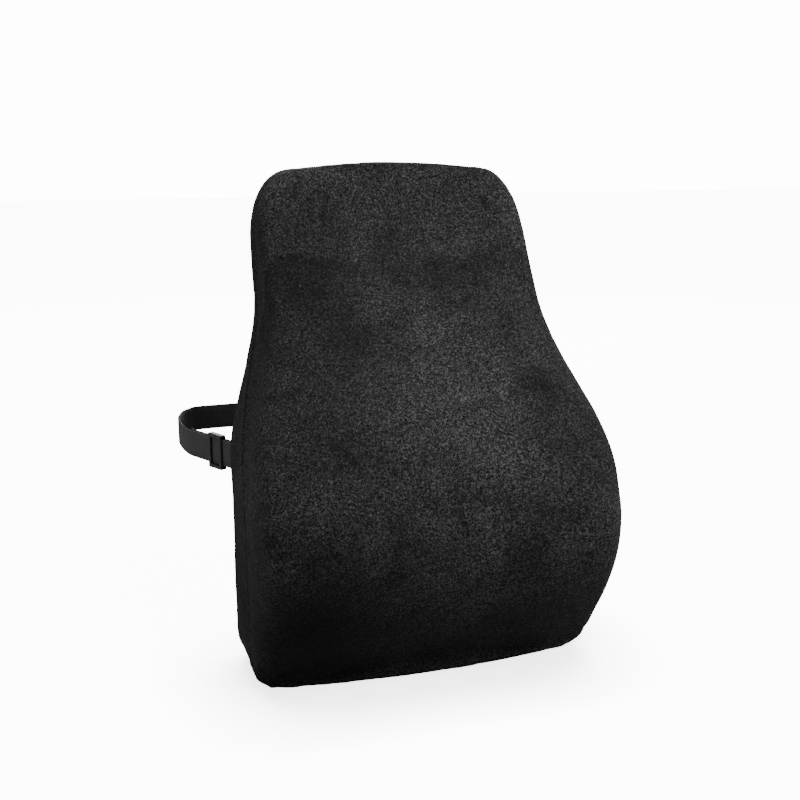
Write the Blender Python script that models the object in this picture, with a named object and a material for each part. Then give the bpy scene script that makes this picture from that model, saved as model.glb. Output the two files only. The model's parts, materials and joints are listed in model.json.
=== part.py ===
# Lumbar support cushion: contoured foam in a liner and a sewn, zipped cover, with an
# adjustable webbing strap behind it. Metres, +Z up, the front faces -Y and the back +Y.
# The origin is the middle of the flat underside.
import math

import bmesh
import bpy
from mathutils import Matrix, Vector

# Outside shape of the cushion
height = 0.446
lumbar_width = 0.316
top_width = 0.252
lumbar_depth = 0.153
foot_depth = 0.0685
top_depth = 0.026
wing_swell = 0.020
lumbar_height = 0.147
waist_start = 0.190
waist_end = 0.332
back_sweep = 0.062
sweep_start = 0.132
back_plane = 0.040
crown_power = 4.6
crown_fullness = 0.155

# Side band, measured front to back
band_low_depth = 0.071
band_high_depth = 0.0195
band_taper_start = 0.185
band_taper_end = 0.297
foot_bow = 0.015

# Corners of the outline seen from the front
foot_flat_half = 0.130
foot_corner_rise = 0.035
top_corner_drop = 0.068
top_corner_reach = 0.0455
top_arch = 0.005
corner_power = 2.44

# Layers, from the foam outwards
clearance = 0.0003
liner_gap = 0.0003
liner_thickness = 0.0003
cover_gap = 0.0012
cover_thickness = 0.0020
seam_half_gap = 0.0007
thread_radius = 0.0004
liner_slit_half_width = 0.100
liner_slit_low = 0.055
liner_slit_high = 0.085

# Grid that the cushion's surfaces are made on
outline_points = 72
front_rings = 8
front_ring_crowding = 2.0
back_rings = 4
grid_centre_height = 0.192
band_rows = (0.0, 0.65, 1.0)
outline_steps = 24

# Smoothness of bent strips and round pieces
bend_steps = 8
loop_steps = 4
landing_steps = 5
corner_steps = 3
rod_sides = 16
pull_eye_sides = 20
sharp_angle = 40.0

# Zip across the lower back
zip_height = 0.070
zip_length = 0.240
zip_tape_width = 0.0112
zip_tape_thickness = 0.0008
zip_tape_overrun = 0.006
coil_width = 0.0024
coil_thickness = 0.0012
coil_split = 0.0010
stop_length = 0.0024
slider_length = 0.0095
slider_width = 0.0078
slider_plate = 0.0008
slider_under_plate = 0.0007
slider_blade = 0.0004
slider_blade_length = 0.0030
lug_thickness = 0.0010
lug_length = 0.0022
lug_rise = 0.0030
pull_pin_radius = 0.0005
pull_pin_rise = 0.0020
pull_eye_radius = 0.0016
pull_length = 0.0200
pull_width = 0.0044
pull_thickness = 0.0012

# Strap, ring and slide adjuster
strap_height = 0.1875
webbing_width = 0.025
webbing_thickness = 0.0012
ring_wire_radius = 0.0012
ring_inset = 0.0184
ring_reach = 0.0115
tab_length = 0.024
strap_end_inset = 0.018
landing_bend = 0.012
strap_angle = 29.0
straight_run = 0.064
adjuster_place = 0.0285
tail_length = 0.075
loop_reach = 0.170
loop_bend = ((0.0, 0.055), (0.003, 0.030), (0.014, 0.009), (0.040, 0.001))
loop_overhang = 0.030
ring_tilt = 150.0
ring_corner = 0.0018
adjuster_length = 0.0190
adjuster_bar = 0.0034
adjuster_rail = 0.0036
adjuster_bar_thickness = 0.0020

skin = liner_gap + liner_thickness + cover_gap + cover_thickness
cover_inner = skin - cover_thickness
foam_back = back_plane - skin


def smooth_step(value, start, end):
    t = min(max((value - start) / (end - start), 0.0), 1.0)
    return t * t * (3.0 - 2.0 * t)


def half_width(z):
    fall = smooth_step(z, waist_start, waist_end)
    return (lumbar_width + (top_width - lumbar_width) * fall) / 2


def back_curve(z):
    return back_plane + back_sweep * smooth_step(z, sweep_start, height)


def band_depth(z):
    fall = smooth_step(z, band_taper_start, band_taper_end)
    return band_low_depth + (band_high_depth - band_low_depth) * fall


def edge_depth(x, z):
    # The front edge bows forwards at the foot, most in the middle.
    bow = foot_bow * (1.0 - (x / half_width(z)) ** 2)
    return band_depth(z) + bow * (1.0 - smooth_step(z, 0.0, lumbar_height))


def middle_depth(z):
    if z < lumbar_height:
        rise = math.sin(math.pi / 2 * max(z, 0.0) / lumbar_height)
        return foot_depth + (lumbar_depth - foot_depth) * rise
    fall = smooth_step(z, lumbar_height, height)
    return lumbar_depth + (top_depth - lumbar_depth) * fall


def front_depth(x, z, ring):
    wing = wing_swell * (x / half_width(z)) ** 2 * smooth_step(z, 0.0, lumbar_height)
    crown = max(1.0 - ring ** crown_power, 0.0) ** crown_fullness
    edge = edge_depth(x, z)
    return edge + (middle_depth(z) + wing - edge) * crown


def half_outline():
    # Right half of the outer outline, from the middle of the foot to the middle of the top.
    steps = outline_steps
    low = foot_corner_rise
    high = height - top_arch - top_corner_drop
    points = [(foot_flat_half * i / steps, 0.0) for i in range(steps)]
    reach = half_width(low) - foot_flat_half
    for i in range(steps):
        turn = math.pi / 2 * i / steps
        x = foot_flat_half + reach * math.sin(turn) ** (2 / corner_power)
        z = low * (1 - math.cos(turn) ** (2 / corner_power))
        points.append((x, z))
    for i in range(steps):
        z = low + (high - low) * i / steps
        points.append((half_width(z), z))
    inner = half_width(high) - top_corner_reach
    for i in range(steps):
        turn = math.pi / 2 * i / steps
        x = inner + top_corner_reach * math.cos(turn) ** (2 / corner_power)
        z = high + top_corner_drop * math.sin(turn) ** (2 / corner_power)
        points.append((x, z))
    for i in range(steps + 1):
        x = inner * (1 - i / steps)
        points.append((x, height - top_arch * (x / inner) ** 2))
    return points


def even_points(points, count):
    # Points at equal distances along a closed line, the first half a step in.
    closed = points + [points[0]]
    lengths = [0.0]
    for a, b in zip(closed, closed[1:]):
        lengths.append(lengths[-1] + math.dist(a, b))
    result = []
    at = 0
    for k in range(count):
        target = (k + 0.5) * lengths[-1] / count
        while lengths[at + 1] < target:
            at += 1
        share = (target - lengths[at]) / (lengths[at + 1] - lengths[at])
        a, b = closed[at], closed[at + 1]
        result.append((a[0] + (b[0] - a[0]) * share, a[1] + (b[1] - a[1]) * share))
    return result


def foam_outline():
    right = half_outline()
    left = [(-x, z) for x, z in reversed(right[1:-1])]
    outer = even_points(right + left, outline_points)
    inset = []
    for k, (x, z) in enumerate(outer):
        before = Vector(outer[k - 1])
        after = Vector(outer[(k + 1) % outline_points])
        along = (after - before).normalized()
        inset.append((x - along.y * skin, z + along.x * skin))
    return inset


def scaled_outline(outline, ring):
    result = []
    for x, z in outline:
        result.append((x * ring, grid_centre_height + (z - grid_centre_height) * ring))
    return result


def front_point(x, z, ring):
    return Vector((x, back_curve(z) - front_depth(x, z, ring) + skin, z))


def back_point(x, z):
    return Vector((x, back_curve(z) - skin, z))


def front_sheet(outline):
    rings = []
    for i in range(1, front_rings + 1):
        ring = 1.0 - (1.0 - i / front_rings) ** front_ring_crowding
        rings.append([front_point(x, z, ring) for x, z in scaled_outline(outline, ring)])
    return [[front_point(0.0, grid_centre_height, 0.0)]] + rings


def back_sheet(outline):
    rings = []
    for i in range(1, back_rings + 1):
        ring = math.sin(math.pi / 2 * i / back_rings)
        rings.append([back_point(x, z) for x, z in scaled_outline(outline, ring)])
    return [[back_point(0.0, grid_centre_height)]] + rings


def side_sheet(outline):
    front_edge = [front_point(x, z, 1.0) for x, z in outline]
    back_edge = [back_point(x, z) for x, z in outline]
    rows = []
    for share in band_rows:
        rows.append([a.lerp(b, share) for a, b in zip(front_edge, back_edge)])
    return rows


def set_back(ring, neighbour):
    # Pulls an edge towards the next row, which leaves the gap that the seam fills.
    return [a + (b - a).normalized() * seam_half_gap for a, b in zip(ring, neighbour)]


def colour_material(name, colour, roughness, metallic=0.0):
    material = bpy.data.materials.new(name)
    material.use_nodes = True
    shader = material.node_tree.nodes["Principled BSDF"]
    shader.inputs["Base Color"].default_value = (*colour, 1.0)
    shader.inputs["Roughness"].default_value = roughness
    shader.inputs["Metallic"].default_value = metallic
    material.diffuse_color = (*colour, 1.0)
    return material


def add_object(name, bm, material, smooth=True):
    mesh = bpy.data.meshes.new(name)
    bm.to_mesh(mesh)
    bm.free()
    if smooth:
        mesh.shade_smooth()
        mesh.set_sharp_from_angle(angle=math.radians(sharp_angle))
    obj = bpy.data.objects.new(name, mesh)
    obj.data.materials.append(material)
    bpy.context.scene.collection.objects.link(obj)
    return obj


def rows_to_bmesh(rows, outward):
    # Skins rows of points, closed round, where a row of one point is a pole.
    bm = bmesh.new()
    made = [[bm.verts.new(point) for point in row] for row in rows]
    for a, b in zip(made, made[1:]):
        for k in range(outline_points):
            n = (k + 1) % outline_points
            if len(a) > 1:
                bm.faces.new((a[k], a[n], b[n % len(b)]))
            if len(b) > 1:
                bm.faces.new((a[k % len(a)], b[n], b[k]))
    bm.normal_update()
    facing = sum((face.normal.dot(outward(face.calc_center_median())) for face in bm.faces))
    if facing < 0:
        bmesh.ops.reverse_faces(bm, faces=bm.faces[:])
    bm.normal_update()
    return bm


def from_middle(point):
    return point - Vector((0.0, 0.0, grid_centre_height))


def push_out(bm, distance):
    moves = [(vert, vert.normal * distance) for vert in bm.verts]
    for vert, move in moves:
        vert.co += move


def thicken(obj, thickness):
    solidify = obj.modifiers.new("thickness", "SOLIDIFY")
    solidify.thickness = thickness
    solidify.offset = 1.0
    return solidify


def cut(obj, cutter, operation="DIFFERENCE"):
    boolean = obj.modifiers.new(operation.lower(), "BOOLEAN")
    boolean.operation = operation
    boolean.object = cutter
    cutter.hide_render = True
    cutter.display_type = "WIRE"


def box_bmesh(low, high):
    bm = bmesh.new()
    size = Vector(high) - Vector(low)
    middle = (Vector(high) + Vector(low)) / 2
    placed = Matrix.Translation(middle) @ Matrix.Diagonal((*size, 1.0))
    bmesh.ops.create_cube(bm, size=1.0, matrix=placed)
    return bm


def add_box(name, low, high, material):
    return add_object(name, box_bmesh(low, high), material, smooth=False)


def add_rod(name, centre, radius, length, material, sides=rod_sides):
    bm = bmesh.new()
    bmesh.ops.create_cone(bm, cap_ends=True, segments=sides, radius1=radius, radius2=radius,
                          depth=length, matrix=Matrix.Translation(centre))
    return add_object(name, bm, material)


def add_wire(name, points, radius, material, sides_setting):
    curve = bpy.data.curves.new(name, "CURVE")
    curve.dimensions = "3D"
    curve.bevel_depth = radius
    curve.bevel_resolution = sides_setting
    spline = curve.splines.new("POLY")
    spline.points.add(len(points) - 1)
    for slot, point in zip(spline.points, points):
        slot.co = (*point, 1.0)
    spline.use_cyclic_u = True
    obj = bpy.data.objects.new(name, curve)
    curve.materials.append(material)
    bpy.context.scene.collection.objects.link(obj)
    return obj


def add_ribbon(name, path, low, high, thickness, material):
    # A strip that stands on edge: its path is in the XY plane and its width runs along Z.
    bm = bmesh.new()
    sections = []
    for k, point in enumerate(path):
        before = path[max(k - 1, 0)]
        after = path[min(k + 1, len(path) - 1)]
        along = (after - before).normalized()
        side = Vector((-along.y, along.x)) * thickness / 2
        a, b = point + side, point - side
        corners = ((a.x, a.y, low), (b.x, b.y, low), (b.x, b.y, high), (a.x, a.y, high))
        sections.append([bm.verts.new(corner) for corner in corners])
    for first, second in zip(sections, sections[1:]):
        for k in range(4):
            n = (k + 1) % 4
            bm.faces.new((first[k], first[n], second[n], second[k]))
    bm.faces.new(sections[0])
    bm.faces.new(sections[-1])
    bmesh.ops.recalc_face_normals(bm, faces=bm.faces[:])
    return add_object(name, bm, material)


def arc(centre, radius, start, end, steps):
    points = []
    for i in range(steps + 1):
        turn = start + (end - start) * i / steps
        points.append(centre + Vector((math.cos(turn), math.sin(turn))) * radius)
    return points


def smooth_path(points, steps, first_way, last_way):
    # A Catmull-Rom curve through the points, which leaves and arrives along the given ways.
    first_step = (points[1] - points[0]).length
    last_step = (points[-1] - points[-2]).length
    lead_in = points[1] - first_way * 2 * first_step
    lead_out = points[-2] + last_way * 2 * last_step
    padded = [lead_in] + points + [lead_out]
    path = []
    for a, b, c, d in zip(padded, padded[1:], padded[2:], padded[3:]):
        for i in range(steps):
            t = i / steps
            curve = b * 2 + (c - a) * t
            curve += (a * 2 - b * 5 + c * 4 - d) * t ** 2
            curve += (b * 3 - a - c * 3 + d) * t ** 3
            path.append(curve / 2)
    return path + [points[-1]]


def offset_path(path, distance):
    result = []
    for k, point in enumerate(path):
        along = (path[min(k + 1, len(path) - 1)] - path[max(k - 1, 0)]).normalized()
        result.append(point + Vector((-along.y, along.x)) * distance)
    return result


def clear_scene():
    for obj in list(bpy.data.objects):
        bpy.data.objects.remove(obj, do_unlink=True)


def make_padding(outline):
    foam_colour = colour_material("memory_foam", (0.80, 0.76, 0.62), 0.9)
    liner_colour = colour_material("liner_knit", (0.75, 0.75, 0.73), 0.85)
    front, side, back = front_sheet(outline), side_sheet(outline), back_sheet(outline)
    whole = front + side[1:-1] + back[::-1]
    add_object("foam_core", rows_to_bmesh(whole, from_middle), foam_colour)

    liner = rows_to_bmesh(whole, from_middle)
    push_out(liner, liner_gap)
    bag = add_object("inner_liner", liner, liner_colour)
    thicken(bag, liner_thickness)
    slit = add_box("liner_slit_cutter",
                   (-liner_slit_half_width, foam_back - skin, liner_slit_low),
                   (liner_slit_half_width, back_plane, liner_slit_high), liner_colour)
    cut(bag, slit)


def make_cover(outline):
    velour = colour_material("velour", (0.035, 0.035, 0.038), 0.95)
    thread = colour_material("sewing_thread", (0.02, 0.02, 0.02), 0.8)
    front, side, back = front_sheet(outline), side_sheet(outline), back_sheet(outline)
    front_seam, back_seam = front[-1], back[-1]

    sheet = rows_to_bmesh(front[:-1] + [set_back(front[-1], front[-2])],
                          lambda point: Vector((0.0, -1.0, 0.0)))
    push_out(sheet, cover_inner)
    thicken(add_object("front_panel", sheet, velour), cover_thickness)

    rows = [set_back(side[0], side[1])] + side[1:-1] + [set_back(side[-1], side[-2])]
    sheet = rows_to_bmesh(rows, from_middle)
    push_out(sheet, cover_inner)
    thicken(add_object("side_band", sheet, velour), cover_thickness)

    slot_half_length = zip_length / 2 + zip_tape_overrun + clearance
    slot_half_height = coil_split / 2 + zip_tape_width + clearance
    slot = add_box("zip_slot_cutter",
                   (-slot_half_length, foam_back, zip_height - slot_half_height),
                   (slot_half_length, back_plane + skin, zip_height + slot_half_height), velour)
    for name, sign in (("back_panel_upper", 1), ("back_panel_lower", -1)):
        sheet = rows_to_bmesh([set_back(back[-1], back[-2])] + back[-2::-1],
                              lambda point: Vector((0.0, 1.0, 0.0)))
        push_out(sheet, cover_inner)
        edge = Vector((0.0, 0.0, zip_height + sign * seam_half_gap))
        everything = sheet.verts[:] + sheet.edges[:] + sheet.faces[:]
        bmesh.ops.bisect_plane(sheet, geom=everything, plane_co=edge,
                               plane_no=(0.0, 0.0, -sign), clear_outer=True)
        panel = add_object(name, sheet, velour)
        thicken(panel, cover_thickness)
        cut(panel, slot)

    lift = cover_inner + cover_thickness / 2
    for name, seam, one, other in (("front_seam_thread", front_seam, front[-2], side[1]),
                                   ("back_seam_thread", back_seam, back[-2], side[-2])):
        line = []
        for k, point in enumerate(seam):
            along = seam[(k + 1) % outline_points] - seam[k - 1]
            first = along.cross(one[k] - point).normalized()
            second = (other[k] - point).cross(along).normalized()
            out = (first + second).normalized()
            if out.dot(from_middle(point)) < 0:
                out = -out
            line.append(point + out * lift)
        add_wire(name, line, thread_radius, thread, 0)


def make_zip():
    tape = colour_material("zip_tape", (0.025, 0.025, 0.027), 0.9)
    nylon = colour_material("coil_nylon", (0.03, 0.03, 0.03), 0.45)
    metal = colour_material("zip_metal", (0.10, 0.10, 0.11), 0.35, 0.9)

    under_top = foam_back + cover_inner + slider_under_plate
    tape_back = under_top + clearance
    tape_top = tape_back + zip_tape_thickness
    coil_back = tape_top + clearance
    coil_top = coil_back + coil_thickness
    plate_back = coil_top + clearance
    plate_top = plate_back + slider_plate
    half = zip_length / 2
    split = coil_split / 2

    for word, sign in (("upper", 1), ("lower", -1)):
        near = zip_height + sign * split
        far = near + sign * zip_tape_width
        add_box("zip_tape_" + word,
                (-half - zip_tape_overrun, tape_back, min(near, far)),
                (half + zip_tape_overrun, tape_top, max(near, far)), tape)
        far = near + sign * coil_width
        add_box("zip_coil_" + word, (-half, coil_back, min(near, far)),
                (half, coil_top, max(near, far)), nylon)

    stop_half = split + coil_width
    for word, sign in (("left", -1), ("right", 1)):
        near = sign * (half + clearance)
        far = near + sign * stop_length
        add_box("zip_stop_" + word, (min(near, far), coil_back, zip_height - stop_half),
                (max(near, far), coil_top, zip_height + stop_half), metal)

    # The slider rests at the closed end, with its plates above and below the tapes.
    centre = half - slider_length / 2
    wide = slider_width / 2
    slider = add_box("zip_slider",
                     (centre - slider_length / 2, plate_back, zip_height - wide),
                     (centre + slider_length / 2, plate_top, zip_height + wide), metal)
    under = add_box("slider_under_part",
                    (centre - slider_length / 2, foam_back + cover_inner, zip_height - wide),
                    (centre + slider_length / 2, under_top, zip_height + wide), metal)
    sunk = slider_under_plate / 2
    blade = add_box("slider_blade_part",
                    (centre - slider_blade_length / 2, under_top - sunk,
                     zip_height - slider_blade / 2),
                    (centre + slider_blade_length / 2, plate_back + sunk,
                     zip_height + slider_blade / 2), metal)
    cut(slider, blade, "UNION")
    cut(slider, under, "UNION")
    lug_inner = pull_width / 2 + clearance
    for sign in (-1, 1):
        near = zip_height + sign * lug_inner
        far = near + sign * lug_thickness
        lug = add_box("slider_lug_part_%d" % (sign + 1),
                      (centre - lug_length / 2, plate_top - sunk, min(near, far)),
                      (centre + lug_length / 2, plate_top + lug_rise, max(near, far)), metal)
        cut(slider, lug, "UNION")
    pin_y = plate_top + pull_pin_rise
    pin_place = Vector((centre, pin_y, zip_height))
    pin = add_rod("slider_pin_part", pin_place, pull_pin_radius,
                  2 * lug_inner + lug_thickness, metal)
    cut(slider, pin, "UNION")

    # The pull turns on the slider's pin, which its own origin lies on.
    eye = Vector((0.0, 0.0, 0.0))
    pull = add_rod("zip_pull", eye, pull_eye_radius, pull_width, metal, pull_eye_sides)
    pull.location = pin_place
    tab = add_box("pull_tab_part", (-pull_length, -pull_thickness / 2, -pull_width / 2),
                  (-pull_pin_radius - clearance, pull_thickness / 2, pull_width / 2), metal)
    tab.location = pin_place
    hole = add_rod("pull_hole_part", eye, pull_pin_radius + clearance, pull_width * 2, metal)
    hole.location = pin_place
    cut(pull, tab, "UNION")
    cut(pull, hole)


def strap_frame():
    # The strap's near run: where the ring's outer bar is, and the way the run points.
    edge = half_width(strap_height)
    bar_gap = ring_wire_radius + clearance + webbing_thickness / 2
    back_here = back_curve(strap_height + webbing_width / 2)
    sewn_y = back_here + clearance + webbing_thickness / 2
    inner_bar = Vector((-edge + ring_inset, sewn_y + bar_gap))
    turn = math.radians(strap_angle)
    along = Vector((-math.sin(turn), math.cos(turn)))
    tilt = math.radians(ring_tilt)
    outer_bar = inner_bar + Vector((math.cos(tilt), math.sin(tilt))) * ring_reach
    return edge, sewn_y, bar_gap, inner_bar, outer_bar, along


def strap_centre_line(edge, outer_bar, along):
    # From the ring round behind the cushion to the mirrored point on the right.
    far = back_plane + loop_reach
    bulge = edge + loop_overhang
    left = [outer_bar + along * straight_run]
    for inwards, forwards in loop_bend:
        left.append(Vector((inwards - bulge, far - forwards)))
    right = [Vector((-point.x, point.y)) for point in reversed(left)]
    arriving = Vector((along.x, -along.y))
    loop = smooth_path(left + [Vector((0.0, far))] + right, loop_steps, along, arriving)
    return [outer_bar, outer_bar + along * straight_run / 2] + loop


def make_strap():
    webbing = colour_material("webbing", (0.03, 0.03, 0.032), 0.8)
    plastic = colour_material("adjuster_plastic", (0.02, 0.02, 0.02), 0.5)
    edge, sewn_y, bar_gap, inner_bar, outer_bar, along = strap_frame()
    low = strap_height - webbing_width / 2
    high = strap_height + webbing_width / 2

    # The tab is folded round the ring's inner bar, both layers lying on the back.
    tab_end = inner_bar.x + tab_length
    fold = arc(inner_bar, bar_gap, math.radians(270), math.radians(90), bend_steps)
    tab = [Vector((tab_end, sewn_y))] + fold + [Vector((tab_end, sewn_y + 2 * bar_gap))]
    add_ribbon("strap_tab_left", tab, low, high, webbing_thickness, webbing)

    # One strip: tail, turn round the ring's outer bar, loop, and the end sewn at the right.
    centre_line = strap_centre_line(edge, outer_bar, along)
    travelled = 0.0
    tail_line = [centre_line[0]]
    for a, b in zip(centre_line, centre_line[1:]):
        travelled += (b - a).length
        if travelled > tail_length:
            break
        tail_line.append(b)
    tail = offset_path(tail_line, -bar_gap)[:0:-1]
    heading = math.atan2(along.y, along.x)
    turn_round = arc(outer_bar, bar_gap, heading - math.pi / 2, heading - 3 * math.pi / 2,
                     bend_steps)
    outside = offset_path(centre_line, bar_gap)[1:]
    sewn_x = edge - strap_end_inset
    arriving = Vector((along.x, -along.y))
    bend_centre = Vector((sewn_x, sewn_y + landing_bend))
    heading_in = math.atan2(arriving.y, arriving.x)
    bend = arc(bend_centre, landing_bend, heading_in + math.pi / 2, -math.pi / 2,
               landing_steps)
    approach = smooth_path([outside[-1], bend[0]], loop_steps, arriving, arriving)[1:-1]
    landing = approach + bend + [Vector((sewn_x - tab_length, sewn_y))]
    path = tail + turn_round + outside + landing
    add_ribbon("strap_band", path, low, high, webbing_thickness, webbing)

    # Rectangular ring of wire, its two upright bars holding the tab and the strap.
    rise = webbing_width / 2 + clearance + ring_wire_radius
    across = (outer_bar - inner_bar).normalized()
    reach = (outer_bar - inner_bar).length
    near, far, top = ring_corner, reach - ring_corner, rise - ring_corner
    corners = []
    for x, z, start in ((far, top, 0), (near, top, 90), (near, -top, 180), (far, -top, 270)):
        corners += arc(Vector((x, z)), ring_corner, math.radians(start),
                       math.radians(start + 90), corner_steps)
    ring = [(*(inner_bar + across * p.x), strap_height + p.y) for p in corners]
    add_wire("strap_ring", ring, ring_wire_radius, plastic, 1)

    make_adjuster(outer_bar, along, bar_gap, plastic)


def make_adjuster(outer_bar, along, layer_offset, plastic):
    # Three-bar slide: the strap's two layers pass each side of the middle bar, and the end
    # bars bear on the outer layer. Its own X runs along the strap and its Y points outwards.
    layer_face = layer_offset + webbing_thickness / 2 + clearance
    middle = layer_offset - webbing_thickness / 2 - clearance
    top = layer_face + adjuster_bar_thickness
    rail_inner = webbing_width / 2 + clearance
    rail_outer = rail_inner + adjuster_rail
    half = adjuster_length / 2
    place = outer_bar + along * adjuster_place
    turn = math.atan2(along.y, along.x)
    parts = []
    for sign in (1, -1):
        near, far = sign * rail_inner, sign * rail_outer
        parts.append(((-half, -middle, min(near, far)), (half, top, max(near, far))))
    reach = rail_inner + adjuster_rail / 2
    parts.append(((-adjuster_bar / 2, -middle, -reach), (adjuster_bar / 2, middle, reach)))
    for near in (-half, half - adjuster_bar):
        parts.append(((near, layer_face, -reach), (near + adjuster_bar, top, reach)))
    names = ["tri_glide"] + ["glide_part_%d" % k for k in range(1, len(parts))]
    objects = []
    for name, (low, high) in zip(names, parts):
        obj = add_box(name, low, high, plastic)
        obj.location = (place.x, place.y, strap_height)
        obj.rotation_euler = (0.0, 0.0, turn)
        objects.append(obj)
    for other in objects[2:]:
        cut(objects[0], other, "UNION")
    cut(objects[0], objects[1], "UNION")


def main():
    clear_scene()
    outline = foam_outline()
    make_padding(outline)
    make_cover(outline)
    make_zip()
    make_strap()


main()
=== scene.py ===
import json
import math

import bmesh
import bpy
import numpy as np
from mathutils import Matrix, Vector, noise
from mathutils.kdtree import KDTree


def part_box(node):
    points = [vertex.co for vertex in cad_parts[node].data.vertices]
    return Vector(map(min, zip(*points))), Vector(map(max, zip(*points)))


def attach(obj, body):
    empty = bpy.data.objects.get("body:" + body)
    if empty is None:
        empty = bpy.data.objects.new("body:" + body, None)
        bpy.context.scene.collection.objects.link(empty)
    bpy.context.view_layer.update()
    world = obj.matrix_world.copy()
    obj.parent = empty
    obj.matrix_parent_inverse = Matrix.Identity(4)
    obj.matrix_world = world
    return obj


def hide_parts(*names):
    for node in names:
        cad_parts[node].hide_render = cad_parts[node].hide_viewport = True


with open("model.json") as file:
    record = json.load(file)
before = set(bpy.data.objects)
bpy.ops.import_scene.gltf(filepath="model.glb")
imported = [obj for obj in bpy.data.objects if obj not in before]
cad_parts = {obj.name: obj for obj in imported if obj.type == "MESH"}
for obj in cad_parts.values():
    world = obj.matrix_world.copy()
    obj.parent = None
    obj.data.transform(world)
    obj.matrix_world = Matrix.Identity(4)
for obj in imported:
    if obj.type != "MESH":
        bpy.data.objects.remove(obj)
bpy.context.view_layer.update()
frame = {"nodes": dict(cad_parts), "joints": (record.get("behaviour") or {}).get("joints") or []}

mm = 0.001


# Helpers for colours, nodes and meshes

def colour(code):
    # sRGB hex to the linear values that Blender's sockets take
    parts = [int(code[k:k + 2], 16) / 255 for k in (1, 3, 5)]
    return tuple(c / 12.92 if c <= 0.04045 else ((c + 0.055) / 1.055) ** 2.4 for c in parts) + (1.0,)


def addNode(tree, kind, inputs=None, **settings):
    node = tree.nodes.new(kind)
    for key, value in settings.items():
        setattr(node, key, value)
    for key, value in (inputs or {}).items():
        if isinstance(value, bpy.types.NodeSocket):
            tree.links.new(value, node.inputs[key])
        else:
            node.inputs[key].default_value = value
    return node


def mathNode(tree, operation, first, second):
    return addNode(tree, "ShaderNodeMath", {0: first, 1: second}, operation=operation).outputs["Value"]


def noiseNode(tree, place, scale, detail, **more):
    inputs = {"Vector": place, "Scale": scale, "Detail": detail, **more}
    return addNode(tree, "ShaderNodeTexNoise", inputs).outputs["Fac"]


def bandNode(tree, place, pitch, direction, **more):
    # Blender's wave texture repeats every pi/10 of its scaled coordinate
    inputs = {"Vector": place, "Scale": math.pi / 10 / pitch, **more}
    wave = addNode(tree, "ShaderNodeTexWave", inputs, wave_type="BANDS", bands_direction=direction)
    return wave.outputs["Fac"]


def rangeNode(tree, value, fromLow, fromHigh, toLow=0.0, toHigh=1.0):
    return addNode(tree, "ShaderNodeMapRange", {
        "Value": value, "From Min": fromLow, "From Max": fromHigh, "To Min": toLow, "To Max": toHigh},
        ).outputs["Result"]


def mixNode(tree, amount, dark, light):
    return addNode(tree, "ShaderNodeMix", {0: amount, 6: dark, 7: light}, data_type="RGBA").outputs[2]


def objectPlace(tree):
    return addNode(tree, "ShaderNodeTexCoord").outputs["Object"]


def surfaceNodes(tree, shader, tone, height, strength, distance):
    # Colour and relief go into the shader; a smaller distance is a shallower relief
    bump = addNode(tree, "ShaderNodeBump", {"Height": height, "Strength": strength, "Distance": distance})
    tree.links.new(tone, shader.inputs["Base Color"])
    tree.links.new(bump.outputs["Normal"], shader.inputs["Normal"])


def newMaterial(name, finish):
    material = bpy.data.materials.new(name)
    material.use_nodes = True
    shader = material.node_tree.nodes["Principled BSDF"]
    for socket, value in finish.items():
        shader.inputs[socket].default_value = value
    return material, material.node_tree, shader


def addPiece(name, mesh, material):
    mesh.name = name
    mesh.materials.clear()
    mesh.materials.append(material)
    mesh.shade_smooth()
    piece = bpy.data.objects.new(name, mesh)
    bpy.context.scene.collection.objects.link(piece)
    return piece


def applied(source):
    # The source as its modifiers leave it, as a plain mesh; the source is removed
    mesh = bpy.data.meshes.new_from_object(source.evaluated_get(bpy.context.evaluated_depsgraph_get()))
    bpy.data.objects.remove(source)
    return mesh


def plainMesh(name, points, faces):
    mesh = bpy.data.meshes.new(name)
    mesh.from_pydata([tuple(p) for p in points], [], [tuple(f) for f in faces])
    mesh.update()
    return mesh


def fromBmesh(name, bm):
    mesh = bpy.data.meshes.new(name)
    bm.to_mesh(mesh)
    bm.free()
    return mesh


def faceOutward(mesh):
    bm = bmesh.new()
    bm.from_mesh(mesh)
    bmesh.ops.recalc_face_normals(bm, faces=bm.faces[:])
    bm.to_mesh(mesh)
    bm.free()


def pointTree(points):
    tree = KDTree(len(points))
    for k, p in enumerate(points):
        tree.insert(p, k)
    tree.balance()
    return tree


def coordinates(mesh):
    co = np.empty(len(mesh.vertices) * 3)
    mesh.vertices.foreach_get("co", co)
    return co.reshape(-1, 3)


def normals(mesh):
    n = np.empty(len(mesh.vertices) * 3)
    mesh.vertex_normals.foreach_get("vector", n)
    return n.reshape(-1, 3)


def smoothStep(value, start, end):
    t = np.clip((value - start) / (end - start), 0.0, 1.0)
    return t * t * (3.0 - 2.0 * t)


# Shape of the cushion, in metres: the CAD model's form at cloth resolution

cushion = {
    "height": 0.446, "lumbarWidth": 0.316, "topWidth": 0.252,
    "lumbarDepth": 0.153, "footDepth": 0.0685, "topDepth": 0.026,
    "wingSwell": 0.020, "lumbarHeight": 0.147, "waistStart": 0.190, "waistEnd": 0.332,
    "backPlane": 0.040, "backSweep": 0.062, "sweepStart": 0.132,
    "crownPower": 4.6, "crownFullness": 0.155,
    "bandLowDepth": 0.071, "bandHighDepth": 0.0195, "bandTaperStart": 0.185, "bandTaperEnd": 0.297,
    "footBow": 0.015, "footFlatHalf": 0.130, "footCornerRise": 0.035,
    "topCornerDrop": 0.068, "topCornerReach": 0.0455, "topArch": 0.005, "cornerPower": 2.44,
    "centreHeight": 0.192, "footSoftness": 0.003,
}


def halfWidth(z):
    fall = smoothStep(z, cushion["waistStart"], cushion["waistEnd"])
    return (cushion["lumbarWidth"] + (cushion["topWidth"] - cushion["lumbarWidth"]) * fall) / 2


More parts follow.
